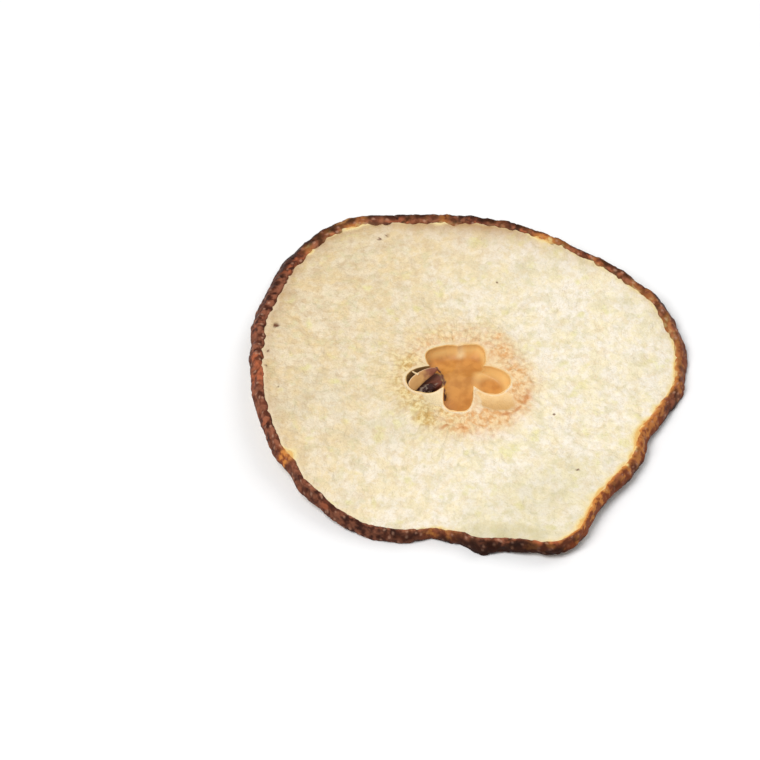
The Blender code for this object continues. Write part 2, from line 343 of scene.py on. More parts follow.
class Look:
    """Builds a material's nodes in plain calls. An input is a socket to link or a value."""

    def __init__(self, name):
        self.material = bpy.data.materials.new(name)
        self.material.use_nodes = True
        self.tree = self.material.node_tree
        self.shader = self.tree.nodes["Principled BSDF"]
        where = self.add("TexCoord").outputs["Object"]
        self.place = self.vector("SCALE", where, scale=1 / MM)

    def put(self, socket, value):
        if isinstance(value, bpy.types.NodeSocket):
            self.tree.links.new(value, socket)
        else:
            socket.default_value = value

    def add(self, kind, inputs=(), **settings):
        node = self.tree.nodes.new("ShaderNode" + kind)
        for key, value in settings.items():
            setattr(node, key, value)
        for key, value in dict(inputs).items():
            self.put(node.inputs[key], value)
        return node

    def vector(self, operation, a, b=None, scale=None):
        inputs = {0: a, 1: b, "Scale": scale}
        given = {key: value for key, value in inputs.items() if value is not None}
        node = self.add("VectorMath", given, operation=operation)
        return node.outputs["Value" if operation == "LENGTH" else "Vector"]

    def math(self, operation, a, *others):
        """One operation, or the same one again and again over several inputs."""
        for b in others:
            a = self.add("Math", {0: a, 1: b}, operation=operation).outputs[0]
        return a

    def plus(self, *values):
        return self.math("ADD", *values)

    def times(self, *values):
        return self.math("MULTIPLY", *values)

    def step(self, value, low, high, top=1.0):
        """0 below low and top above high, with a soft change between."""
        inputs = {"Value": value, "From Min": low, "From Max": high, "To Max": top}
        node = self.add("MapRange", inputs, interpolation_type="SMOOTHSTEP")
        return node.outputs["Result"]

    def mix(self, share, a, b):
        node = self.add("Mix", {0: share, 6: a, 7: b}, data_type="RGBA")
        return node.outputs[2]

    def over(self, colour, *layers):
        """Lays colours over one another. Each layer is its share, or a field and the limits of
        the step that makes it a share, and its colour."""
        for share, *limits, layer in layers:
            share = self.step(share, *limits) if limits else share
            colour = self.mix(share, colour, layer)
        return colour

    def noise(self, size, detail=2.0, shift=0.0, place=None, rough=0.5):
        """Noise from 0 to 1, with features about size apart. A shift gives other noise."""
        place = place or self.place
        if shift:
            place = self.vector("ADD", place, (shift, -shift, 0.0))
        inputs = {"Vector": place, "Scale": 1 / size, "Detail": detail}
        node = self.add("TexNoise", {**inputs, "Roughness": rough})
        return node.outputs["Fac"]

    def folds(self, size, detail, shift):
        """Noise's distance from its middle value, which is near 0 along thin winding lines."""
        off = self.math("SUBTRACT", self.noise(size, detail, shift), 0.5)
        return self.add("Math", {0: off}, operation="ABSOLUTE").outputs[0]

    def masks(self, name):
        """The three masks stored on the mesh under a name."""
        colour = self.add("Attribute", attribute_name=name).outputs["Color"]
        split = self.add("SeparateColor", {0: colour})
        return split.outputs[:3]

    def from_core(self):
        """Places seen from above, measured from the core."""
        flat = self.vector("SUBTRACT", self.place, (*CORE_AT, 0.0))
        return self.vector("MULTIPLY", flat, (1.0, 1.0, 0.0))

    def radial(self, spread, length):
        """Places drawn out along the bearing from the core, as radial_places has them."""
        flat = self.from_core()
        bearing = self.vector("SCALE", self.vector("NORMALIZE", flat), scale=spread)
        far = self.math("DIVIDE", self.vector("LENGTH", flat), length)
        lift = self.add("CombineXYZ", {"Z": far}).outputs[0]
        return self.vector("ADD", bearing, lift)

    def finish(self, colour, roughness, height, depth, specular=0.5):
        """Sets the shader's colour, roughness, bump and specular level. The bump's depth is in
        millimetres."""
        bump = self.add("Bump", {"Height": height, "Distance": depth * MM})
        inputs = {"Base Color": colour, "Roughness": roughness, "Normal": bump.outputs["Normal"]}
        for key, value in {**inputs, "Specular IOR Level": specular}.items():
            self.put(self.shader.inputs[key], value)
        return self


def flesh_look():
    """Cream flesh, darker and warmer to the left as painted shade, in soft patches and fine folds
    that are darkened as painted shade, with fibres that point at the core, and the stains, painted
    shades and painted highlights that are stored on the mesh."""
    look = Look("dried_flesh")
    peach, olive, smooth = look.masks("core_tints")
    gold, speck, pale = look.masks("rim_tints")
    rim_shade, dull_shade, streak = look.masks("shade_tints")
    x, y, _ = look.add("SeparateXYZ", {0: look.place}).outputs
    drift = look.plus(x, look.times(y, -0.45), look.times(look.noise(12.0), 18.0))

    def drifting(left, right, full_at=20.0):
        """A colour that changes unevenly from the slice's left to its right: darker and warmer on the
        left, as painted shade.
        """
        return look.mix(look.step(drift, -26.0, full_at), tone(*left), tone(*right))

    # Painted shade: each tone is darker and warmer towards the slice's left
    base = drifting((238, 212, 163), (254, 241, 205), full_at=26.0)
    bright = drifting((243, 227, 196), (255, 246, 232))
    tan = drifting((208, 176, 130), (238, 216, 176))
    shade = drifting((218, 194, 156), (234, 222, 186))
    folds = look.folds(2.3, 4.0, 31.0)
    streaky = look.times(
        look.step(look.vector("LENGTH", look.from_core()), *FIBRES_FAR), look.step(x, *FIBRES_ACROSS, 0.35)
    )
    strokes = look.noise(1.0, 3.0, place=look.radial(17.0, 2.4), rough=0.6)
    grain = look.noise(0.42)
    crumbs = look.noise(0.8, 3.0)
    ochre = look.mix(look.step(crumbs, 0.36, 0.64), tone(246, 226, 168), tone(206, 170, 98))
    apricot = look.mix(look.step(crumbs, 0.3, 0.7), tone(251, 220, 170), tone(226, 166, 102))
    scoop = look.over(
        tone(249, 208, 146),
        # Painted shade: darker towards the scoop's near end
        (y, -4.8, -8.2, tone(216, 166, 96)),  # its near end
        (look.noise(1.2, 3.0), 0.42, 0.66, 0.45, tone(222, 172, 106)),
        (x, -1.5, -3.5, 0.85, tone(242, 222, 178)),  # the left scoop
    )
    stain = look.mix(look.step(gold, 0.45, 0.95), tone(246, 224, 164), tone(238, 190, 108))
    colour = look.over(
        base,
        (look.noise(3.6), 0.42, 0.6, 0.76, bright),
        (look.noise(2.6, 3.0, 91.0), 0.5, 0.66, 0.62, shade),
        (look.noise(1.3, 3.0, 5.0), 0.47, 0.66, 0.58, bright),
        (look.noise(1.5, 3.0, 23.0), 0.51, 0.7, 0.48, tan),
        (look.noise(1.7, 3.0, 13.0), 0.5, 0.7, 0.5, tone(220, 211, 166)),
        (look.noise(2.7, shift=71.0), 0.58, 0.74, 0.5, tone(238, 230, 148)),
        # Painted shade: broad greyish patches over the flesh
        (look.noise(9.0, 3.0, 43.0), 0.5, 0.7, 0.22, tone(210, 200, 168)),
        # Painted shade: thin winding fold lines darkened to tan
        (folds, 0.045, 0.0, 0.28, tan),
        (look.folds(1.2, 3.0, 57.0), 0.05, 0.0, 0.22, tan),
        (look.times(look.step(strokes, 0.5, 0.68), streaky), tone(200, 186, 134)),
        (look.times(look.step(strokes, 0.48, 0.3), streaky), bright),
        (grain, 0.56, 0.72, 0.22, tone(190, 176, 148)),
        (grain, 0.44, 0.3, 0.3, bright),
        # Painted shade, grey-green, in broad patches
        (dull_shade, tone(204, 193, 146)),
        (rim_shade, tone(180, 134, 80)),
        (olive, ochre),
        (peach, apricot),
        (streak, tone(204, 132, 72)),
        (smooth, scoop),
        # Painted highlights on the chambers' near edges, the left rim and the flank
        (pale, tone(252, 234, 200)),
        (gold, 0.05, 0.6, stain),
        (speck, tone(112, 66, 34)),
    )
    height = look.plus(look.times(strokes, streaky, 1.6), folds, look.noise(0.35, 3.0))
    roughness = look.plus(look.step(look.noise(1.1), 0.2, 0.8, 0.25), 0.55)
    return look.finish(colour, roughness, height, depth=0.2)


def skin_look():
    """Red-brown skin with painted shade on its outer flank and in its creases, pale pores, and amber where
    its inner side is golden.
    """
    look = Look("dried_skin")
    gold, pore, crease = look.masks("skin_tints")
    across, side, _ = look.masks("skin_across_and_shade")
    fine = look.noise(1.1, 3.0)
    high = look.mix(look.step(look.noise(6.5), 0.5, 0.64), tone(152, 93, 68), tone(184, 102, 68))
    low = look.mix(look.step(look.noise(2.4), 0.4, 0.6), tone(70, 34, 23), tone(106, 56, 38))
    turning = look.plus(across, look.times(look.noise(1.2, 4.0), 1.3))
    amber = look.over(
        tone(250, 212, 138),
        (turning, 0.56, 0.8, tone(210, 134, 66)),
        (turning, 0.88, 1.1, tone(138, 70, 38)),
    )
    colour = look.over(
        low,
        (fine, 0.38, 0.62, high),
        # Painted shade darkens the creases between the lumps
        (look.times(crease, 0.36), tone(52, 24, 16)),
        # Painted shade on the skin's outer flank
        (look.times(side, 0.94), tone(32, 12, 6)),
        (across, 0.09, 0.02, 0.6, tone(80, 42, 26)),
        (gold, amber),
        (look.times(pore, 0.55), tone(200, 154, 128)),
    )
    roughness = look.plus(look.step(fine, 0.2, 0.8, 0.2), 0.46)
    pits = look.add("TexVoronoi", {"Vector": look.place, "Scale": 1 / 0.6}).outputs["Distance"]
    height = look.plus(look.noise(0.3, 3.0), pits)
    return look.finish(colour, roughness, height, depth=0.06, specular=0.08)


def lining_look():
    """Smooth orange-tan lining, deeper and darker on the floors partly as painted shade, with
    painted shadow in the left chamber and its groove, and painted highlights at the near lip and the far
    ridge.
    """
    look = Look("core_lining")
    floor, stain, edge = look.masks("lining_tints")
    cloud = look.noise(1.8, 3.0)
    base = look.mix(look.step(cloud, 0.36, 0.64), tone(192, 126, 50), tone(212, 146, 66))
    dark = look.mix(look.step(stain, 0.5, 0.95), tone(136, 100, 60), tone(104, 50, 26))
    colour = look.over(
        look.mix(cloud, tone(255, 222, 150), tone(250, 188, 104)),
        # Painted shade with the lining's colour: deeper, darker orange on the floors
        (floor, base),
        # Painted highlights at the near lip and on the ridge between the far chambers
        (edge, tone(255, 222, 166)),
        # Painted shadow in the left chamber and along its groove
        (stain, 0.05, 0.45, dark),
    )
    roughness = look.plus(look.step(cloud, 0.2, 0.8, 0.15), 0.45)
    return look.finish(colour, roughness, look.noise(0.5, 3.0), depth=0.04)


def flap_look():
    """A shred of lining, tan at its free end and red-brown towards the hub, partly as painted
    shade, with a painted highlight along its top rim.
    """
    look = Look("torn_lining")
    along, rim, _ = look.masks("flap_tints")
    mottled = look.plus(along, look.times(look.noise(0.9, 3.0), 0.5))
    colour = look.over(
        tone(214, 162, 98),
        # Partly painted shade: red-brown towards the hub
        (mottled, 0.7, 1.1, tone(144, 82, 58)),
        # Painted highlight along the top edge
        (rim, tone(252, 216, 172)),
    )
    return look.finish(colour, look.plus(look.noise(0.6), 0.1), look.noise(0.35, 3.0), depth=0.05)


def fibre_look():
    """A dry whitish thread."""
    look = Look("pale_fibre")
    colour = look.mix(look.noise(0.5), tone(252, 228, 186), tone(226, 192, 140))
    return look.finish(colour, look.plus(look.noise(0.4), 0.2), look.noise(0.2, 3.0), depth=0.04)


def seed_look():
    """Shrunken near-black seed coat, redder towards one end, with grey flecks."""
    look = Look("seed_coat")
    along, _, _ = look.masks("seed_tints")
    flecked = look.math("SUBTRACT", look.noise(0.7, 3.0), look.times(along, 0.16))
    colour = look.over(
        look.mix(look.noise(1.1), tone(34, 14, 14), tone(70, 34, 28)),
        (along, 0.5, 0.85, tone(116, 62, 46)),
        (flecked, 0.46, 0.58, 0.75, tone(146, 126, 110)),
    )
    roughness = look.plus(look.noise(0.5), 0.1)
    return look.finish(colour, roughness, look.noise(0.3, 3.0), depth=0.08, specular=0.3)


# The flesh

IN_POCKET, SHOWN, HIDDEN, UNDER = range(4)  # parts of the flesh
PIT_RINGS = ((0.05, 0.0), (0.5, 0.0), (0.97, 0.0), (1.0, 0.4))  # share of the reach, height
PIT_UNDER = 0.38  # how far the flesh's pit lies under the pocket's floor, to clear the lining
FACE_CROWDING = 1.2  # above 1, the face's rings lie closer together by the pocket
BACK_INSET = 1.3  # from the outside of the skin to the edge of the face below
NEAR_STAR = 16.0  # from the core: no mask of the pocket's outline reaches further
BATCHES = 40  # in which distances to the outline are measured, to save memory

# Ovals: middle, half length, half width, turn
# The flank's paleness is partly a painted highlight
FLANK = ((2.6, -4.9), 3.0, 0.9, -78)  # pale rise between the near chamber and the right scoop
WEDGE = ((-3.6, -3.6), 2.8, 1.8, -60)  # smooth flesh between the left and the near chamber
PANEL = ((5.5, 4.3), 2.1, 1.1, 75)  # smooth flesh beside the far right chamber
STREAKS = (  # orange-brown streaks in the gritty ring
    ((10.8, -3.9), 1.7, 0.55, 72), ((9.4, -6.3), 1.3, 0.3, 40), ((0.4, -10.3), 0.6, 0.4, 0),
    ((-2.6, -10.0), 0.9, 0.3, 30), ((7.6, -7.4), 1.2, 0.3, 15),
)
CRACKED = ((8.6, -4.9), 2.3, 1.7, 35)  # where fine brown cracks run over the end of the right scoop
# Painted shade, tinted grey-green, in broad patches over the flesh
DULL_SHADE_PATCHES = (  # grey-green shade on the flesh, with its strength
    ((13.0, -24.0), 13.0, 7.5, 25, 0.4), ((8.0, -31.5), 11.0, 3.6, -5, 0.85),
    ((20.0, -29.0), 5.5, 4.0, 30, 0.4),
)

# Sides of the core: bearing, degrees from it where the side is lost, and where it is full
CORE_SIDES = ((205, 75, 30), (290, 75, 25), (330, 60, 25), (70, 120, 60))
GRIT_RADIUS, GRIT_SPREAD = 8.6, 2.3  # the ring's gritty colour
PEACH_SPOTS = (  # across, away, size
    (10.4, -4.2, 0.9), (0.3, -10.4, 1.0), (7.2, 5.4, 1.8), (6.4, 8.6, 0.8),
)
BACK_STAIN = 6.0  # radius of the brown stain on the other face

# By the skin: bearing and spread in degrees, strength, and for the shades their depth
GOLD_PATCHES = (  # where the skin's inner side is golden
    (-30, 20, 1.0), (0, 14, 0.45), (36, 17, 0.42), (63, 3.4, 0.7), (90, 24, 0.12), (94, 2.2, 0.5),
    (118, 4.0, 0.6), (131, 0.9, 0.6), (210.5, 1.8, 1.6), (262, 4.0, 0.8), (306, 7.0, 1.1),
)
RIM_SHADES = (  # brown shade on the flesh
    (86, 21, 0.95, 1.8), (118, 14, 0.75, 1.5), (152, 28, 0.72, 1.3), (192, 14, 0.5, 1.2),
    (58, 14, 0.45, 1.3), (28, 14, 0.32, 0.7),
)
# Where the flesh by the left rim gets a painted highlight
LEFT_RIM_HIGHLIGHT = (185, 60, 30)  # a side, as the core's sides are given
SPECKS = (  # across, away, size: crumbs of skin and dark spots
    (-30.4, 10.8, 0.55), (-31.6, 4.9, 0.25), (-31.9, 1.5, 0.25), (-29.9, -3.0, 0.18),
    (-13.2, 30.3, 0.28), (-12.0, 31.1, 0.22), (15.8, 27.3, 0.2), (15.3, -7.2, 0.2),
    (18.8, -18.6, 0.22), (6.4, 19.7, 0.2),
)


def flesh_rings():
    """Both faces in rings, from the pocket out to the skin and back underneath, with the part
    that each point belongs to and the pocket's outline."""
    turns, u, v = even_turns(FLESH_TURNS)
    reach = chamber_reach(turns)
    edge, lean, out = skin_edge(turns), skin_lean(turns), skin_reach(turns)
    star_x, star_y = HUB[0] + reach * u, HUB[1] + reach * v
    rings, parts = [], []

    def ring(x, y, height, part):
        rings.append(np.stack([x, y, height], -1))
        parts.append(part)

    for share, over in PIT_RINGS:
        x, y = HUB[0] + share * reach * u, HUB[1] + share * reach * v
        bottom = middle_height(x, y) + FLESH_HALF - POCKET_DEPTH - PIT_UNDER
        ring(x, y, bottom + over, IN_POCKET)
    for k in range(FACE_RINGS + 1):
        share = (k / FACE_RINGS) ** FACE_CROWDING
        x, y = (1 - share) * star_x + share * edge * u, (1 - share) * star_y + share * edge * v
        ring(x, y, face_height(x, y), SHOWN)
    under_top = np.minimum(edge + 0.35 * lean, out - 0.7)
    for r, over in ((under_top, 1.0), (out - 0.45 - 0.2 * lean, 0.2), (out - 0.9, -0.6)):
        x, y = r * u, r * v
        ring(x, y, middle_height(x, y) + over, HIDDEN)
    for k in range(BACK_RINGS):
        r = (1 - k / BACK_RINGS) * (out - BACK_INSET)
        x, y = r * u, r * v
        ring(x, y, back_height(x, y), UNDER)
    return np.array(rings), np.repeat(parts, FLESH_TURNS), np.stack([star_x, star_y], -1)


def gap_to_star(x, y, star, chosen):
    """Distance from each chosen point to the pocket's outline."""
    gap = np.full(len(x), FAR_OFF)
    for part in np.array_split(np.flatnonzero(chosen), BATCHES):
        gaps = np.hypot(x[part, None] - star[None, :, 0], y[part, None] - star[None, :, 1])
        gap[part] = gaps.min(1)
    return gap


def make_flesh():
    """The flesh: fields over its points, and the relief and the masks that are made from them."""
    rings, part, star = flesh_rings()
    x, y = rings[..., 0].ravel(), rings[..., 1].ravel()
    flat = np.stack([x, y, np.zeros_like(x)], -1)
    shown, under = part == SHOWN, part == UNDER
    far, angle = np.hypot(x, y), np.arctan2(y, x)
    rim_gap = skin_edge(angle) - far
    to_star = gap_to_star(x, y, star, shown & (far < NEAR_STAR))
    wave = noise_at(flat, 2.5, 3.0)
    fine = noise_at(flat, 0.8, 7.0)
    bearing = np.arctan2(y - HUB[1], x - HUB[0])
    near_edge = fade(-0.1, -0.45, np.sin(bearing))

    ragged = 0.1 * fine + 0.1 * wave
    dips = scoop_dips(x, y)
    smooth = sum(fade(0.02, 0.45, dip + ragged * (dip > 0)) for dip in dips) * shown
    flank = fade(1.25, 0.6, oval_gap(x, y, FLANK) + 0.2 * fine)
    smooth = smooth * (1 - 0.85 * flank)
    wedge, panel = (fade(1.0, 0.6, oval_gap(x, y, oval)) for oval in (WEDGE, PANEL))
    plain = np.clip(smooth + flank + wedge + panel, 0, 1)
    grit = bell((far - GRIT_RADIUS - 0.9 * wave) / GRIT_SPREAD)
    grit = grit * fade(0.1, 0.7, to_star) * (1 - plain)

    def raised():
        """The rings with the flesh's relief on both faces, in millimetres."""
        streaky = fade(*FIBRES_FAR, far) * fade(*FIBRES_ACROSS, x)
        fibre = noise_at(radial_places(x, y, 26.0, 2.6), 1.0)
        ridge = 0.4 - 2 * abs(noise_at(radial_places(x, y, 30.0, 3.2), 1.0, 4.0))
        crinkle = 0.4 - 2 * abs(noise_at(flat, 1.6, 9.0))
        crumb, _, _ = scatter_at((x + 0.3 * wave) / 0.85, (y + 0.3 * fine) / 0.85, 2)
        relief = 0.14 * wave + 0.08 * fine
        relief = relief + 0.05 * fibre * streaky + 0.08 * (streaky * ridge) + 0.2 * crinkle
        relief = relief * (1 - 0.8 * plain) + grit * (0.18 - 0.36 * crumb)
        relief = relief * fade(0.0, 0.8, to_star)
        below = 0.06 * wave + 0.03 * fine
        z = rings[..., 2].ravel() + np.select([shown, under], [relief, below])
        return np.stack([x, y, z], -1).reshape(rings.shape)

    def core_tints():
        """Peach and olive grit, and the smooth flesh. Underneath, peach is the core's stain."""
        near_left, near, right, far_side = (toward(angle, *side) for side in CORE_SIDES)
        olive = grit * (near_left + 0.6 * near + 0.4 * far_side) * (0.8 + 0.8 * wave)
        peach = grit * (0.8 * near + 1.1 * right + 0.4 * far_side) * (0.85 + 0.7 * fine)
        folded = np.clip(1.2 * flank + 0.5 * wedge + panel, 0, 1.2)
        peach = peach * (1 - 0.5 * near_left) + 0.42 * folded
        peach = peach + 0.45 * np.exp(-to_star / 1.1)
        for at_x, at_y, size in PEACH_SPOTS:
            peach = peach + np.exp(-(((x - at_x) ** 2 + (y - at_y) ** 2) / size**2)) * 0.8
        through = np.exp(-0.5 * (far / BACK_STAIN) ** 4) * (0.45 + 0.3 * wave)
        warm_edge = 0.75 * fade(0.6, 0.05, to_star + 0.15 * fine)
        warm_edge = warm_edge * (1 - near_edge) * shown
        plainer = np.maximum(0.95 * smooth, warm_edge)
        return np.where(under, through, peach * shown), olive * shown, plainer

    def rim_tints():
        """Gold by the skin, dark specks, and painted highlights: on the chamber edges, the left rim and
        the flank.
        """
        gold = with_bumps(0, angle, GOLD_PATCHES)
        width = np.maximum(0.3 + 0.35 * np.clip(gold, 0, 1) + 0.25 * wave, 0.12)
        stain = (0.15 + gold) * np.exp(-np.maximum(rim_gap, 0) / width)
        stain = stain * (0.78 + 0.7 * wave + 0.4 * fine)
        speck = np.zeros_like(x)
        for at_x, at_y, size in SPECKS:
            gap = np.hypot(x - at_x, y - at_y) * (1 + 0.5 * fine)
            speck = np.maximum(speck, fade(1.3 * size, 0.6 * size, gap))
        # Painted highlight along the chambers' near edges
        chamber_edge_highlight = 0.5 * fade(0.42, 0.08, to_star + 0.2 * fine) * near_edge
        left_rim_highlight = 0.45 * toward(angle, *LEFT_RIM_HIGHLIGHT)
        left_rim_highlight = left_rim_highlight * fade(0.7, 0.1, rim_gap + 0.5 * wave)
        pale = np.maximum(np.maximum(chamber_edge_highlight, left_rim_highlight), 0.15 * flank) * shown
        return np.where(under, 0.15, stain * shown), speck * shown, pale

    def shade_tints():
        """Brown shade by the skin, broad patches of grey-green painted shade, and streaks and cracks in
        the gritty ring.
        """
        rim_shade, dull_shade, streak = np.zeros((3, len(x)))
        for at, spread, strength, depth in RIM_SHADES:
            along = bell(turn_between(angle, at) / spread)
            reached = np.exp(-np.maximum(rim_gap, 0) / (depth * (1 + 0.5 * wave)))
            rim_shade = np.maximum(rim_shade, strength * along * reached)
        for *oval, strength in DULL_SHADE_PATCHES:
            gap = oval_gap(x, y, oval) + 0.35 * wave + 0.15 * fine
            dull_shade = np.maximum(dull_shade, strength * fade(1.25, 0.2, gap) * (0.8 + 0.5 * wave))
        for oval in STREAKS:
            gap = oval_gap(x, y, oval) + 0.9 * fine
            streak = np.maximum(streak, 0.75 * fade(1.3, 0.3, gap))
        near, second, _ = scatter_at((x + 0.2 * wave) / 0.95, (y + 0.2 * fine) / 0.95, 21)
        cracked = fade(1.1, 0.7, oval_gap(x, y, CRACKED))
        streak = np.maximum(streak, 0.45 * cracked * fade(0.16, 0.05, second - near))
        return rim_shade * shown, dull_shade * shown, streak * shown

    piece = ring_body("pear_flesh", raised())
    tint(piece, "core_tints", *core_tints())
    tint(piece, "rim_tints", *rim_tints())
    tint(piece, "shade_tints", *shade_tints())
    return piece


# The skin

LUMPS, PORES = 80, 150  # round the slice
LUMP_WIDTH, PORE_WIDTH = 2.2, 1.35  # across the skin
SKIN_SETBACK = 0.11  # lets the lumps stand out without leaving the solid
NOISE_RADIUS = 34  # of the circle on which the skin's inner edge reads its noise
# Sides where the painted shade on the skin's flank is weaker
WEAKER_FLANK_SHADE = ((222, 48, 18), (178, 50, 20))  # sides where the skin's flank is less dark


def skin_rows(turns):
    """Reach, and height over the middle surface, at each row across the skin from its inner
    edge to its underside."""
    out, lean, half = skin_reach(turns), skin_lean(turns), SKIN_HALF
    count, size, phase = TOP_KNOBS
    knob = size * np.sin(count * turns + phase)
    along = np.stack([np.cos(turns), np.sin(turns), 0 * turns], -1) * NOISE_RADIUS
    ragged = waves_at(along, (0.3, 2.2, 5.0), (0.14, 0.9, 9.0))
    inner = out - lean * (1 + 0.4 * ragged) + ragged
    corners = (
        (inner - 0.45, 0.7),  # hidden in the flesh
        (inner, FLESH_HALF + 0.02),
        (out - 0.8 * lean, half + knob),
        (out - 0.45 * lean, 0.92 * half + knob),
        (out - 0.1 * lean, 0.1 * half),
        (out, -0.44 * half),
        (out - 0.15, -0.84 * half),
        (out - 0.7, -half),
        (out - SKIN_UNDER, -FLESH_HALF),
        (out - 2.0, -0.8),  # hidden in the flesh
    )
    knots = np.array([np.broadcast_arrays(*corner) for corner in corners])
    last = len(knots) - 1
    rows = []
    for place in np.linspace(0, last, SKIN_ROWS):
        first = min(int(place), last - 1)
        rows.append(curve(*(knots[np.clip(first + k, 0, last)] for k in (-1, 0, 1, 2)), place - first))
    return np.array(rows)


def make_skin():
    """The ring of skin: lumps, creases, wrinkles and raised pores on the solid's section."""
    turns, u, v = even_turns(SKIN_TURNS)
    rows = skin_rows(turns)
    reach, over = rows[:, 0], rows[:, 1]
    slope_r, slope_h = np.gradient(reach, axis=0), np.gradient(over, axis=0)
    size = np.hypot(slope_r, slope_h)
    out_r, out_h = -slope_h / size, slope_r / size
    x, y = reach * u, reach * v
    points = np.stack([x, y, middle_height(x, y) + over], -1).reshape(-1, 3)
    run = np.tile(turns / (2 * np.pi), SKIN_ROWS)
    section = np.cumsum(size, 0).ravel() * 0.9
    wrinkle = noise_at(points, 0.75, 1.0)
    swell = noise_at(points, 1.7, 6.0)
    stray = 0.45 * noise_at(points, 2.4, 15.0)
    row = (section + 0.8 * swell) / LUMP_WIDTH
    near, second, _ = scatter_at(run * LUMPS + stray, row, 4, LUMPS)
    crease = fade(0.22, 0.0, second - near)
    lump = fade(0.75, 0.15, near)
    spot, _, draw = scatter_at(run * PORES, section / PORE_WIDTH, 11, PORES)
    pore = fade(0.24, 0.11, spot * (0.8 + 0.5 * draw)) * (draw > 0.36)
    relief = 0.12 * lump - 0.07 * crease + 0.07 * wrinkle + 0.16 * swell + 0.05 * pore - SKIN_SETBACK
    share = np.linspace(0, 1, SKIN_ROWS)[:, None]
    held = fade(0.02, 0.16, share) * fade(0.98, 0.86, share)  # 0 at both edges
    relief = relief.reshape(SKIN_ROWS, SKIN_TURNS) * held
    reach, over = reach + relief * out_r, over + relief * out_h
    x, y = reach * u, reach * v
    rings = np.stack([x, y, middle_height(x, y) + over], -1)
    piece = ring_body("pear_skin", rings, looped=True)

    across = np.repeat(np.clip((share - 0.1) / 0.8, 0, 1), SKIN_TURNS, 1)
    flecked = noise_at(points, 1.3, 8.0).reshape(across.shape)
    blotches = noise_at(points, 2.6, 12.0).reshape(across.shape)
    strength = with_bumps(0, turns, GOLD_PATCHES)
    inner_side = fade(0.3, 0.12, across + 0.14 * flecked) * fade(0.35, 0.7, strength)
    mottled = 0.12 + 0.68 * fade(-0.26, 0.22, blotches)
    mottled = np.maximum(np.maximum(mottled, inner_side), fade(0.9, 1.3, strength))
    golden = np.clip(strength, 0, 1)
    gold = golden * fade(0.78, 0.5, across + 0.24 * flecked) * mottled
    # The painted shade on the flank starts higher up on the far side, and a little higher on the near side
    tipped = 0.23 * fade(0.1, 0.7, v) + 0.13 * fade(-0.2, -0.8, v)
    # side: painted shade on the skin's outer flank, lighter again on its underside
    side = fade(0.35, 0.52, across + 0.12 * flecked - 0.06 * golden + tipped)
    side = side * (1 - 0.55 * fade(0.62, 0.85, across))
    lit = sum(0.6 * toward(turns, *weaker_shade) for weaker_shade in WEAKER_FLANK_SHADE)
    side = side * (1 - np.clip(lit, 0, 0.7))
    # Pores fade under the painted shade and in the gold
    pore = pore * (1 - 0.75 * side.ravel()) * (1 - 0.5 * gold.ravel())
    tint(piece, "skin_tints", gold, pore, crease)
    tint(piece, "skin_across_and_shade", across, side)
    return piece


# The lining

# A groove by the left chamber, where the lining is darkened with painted shadow
LEFT_GROOVE = ((-3.8, 3.7), (-3.1, 2.6), (-2.5, 0.7), (-2.6, -1.2), (-2.5, -2.9))  # a dark groove
SHELL = 0.25  # thickness of the lining
BOWLED_SIDE = (-20, 42, 22)  # given as the core's sides are: the right chamber is a bowl
FAR_SIDE = (88, 80, 45)  # where the wall slopes more
STEEPEST = 0.45  # least width of the wall, seen from above


def gap_to_line(x, y, line):
    """Distance from each point to a line of straight stretches."""
    best = np.full(x.shape, FAR_OFF)
    for (ax, ay), (bx, by) in zip(line, line[1:]):
        dx, dy = bx - ax, by - ay
        share = np.clip(((x - ax) * dx + (y - ay) * dy) / (dx * dx + dy * dy), 0, 1)
        best = np.minimum(best, np.hypot(x - ax - share * dx, y - ay - share * dy))
    return best


def floor_height(x, y):
    """Height of the lining's floor over the flesh's face: a bowl in each chamber, and a groove."""
    bowl = np.ones_like(x)
    for chamber in CHAMBERS[1:]:
        bowl = np.minimum(bowl, oval_gap(x, y, chamber) ** 2)
    groove = np.exp(-((gap_to_line(x, y, LEFT_GROOVE) / 0.28) ** 2))
    return -POCKET_DEPTH + 0.05 + 0.35 * bowl - 0.25 * groove


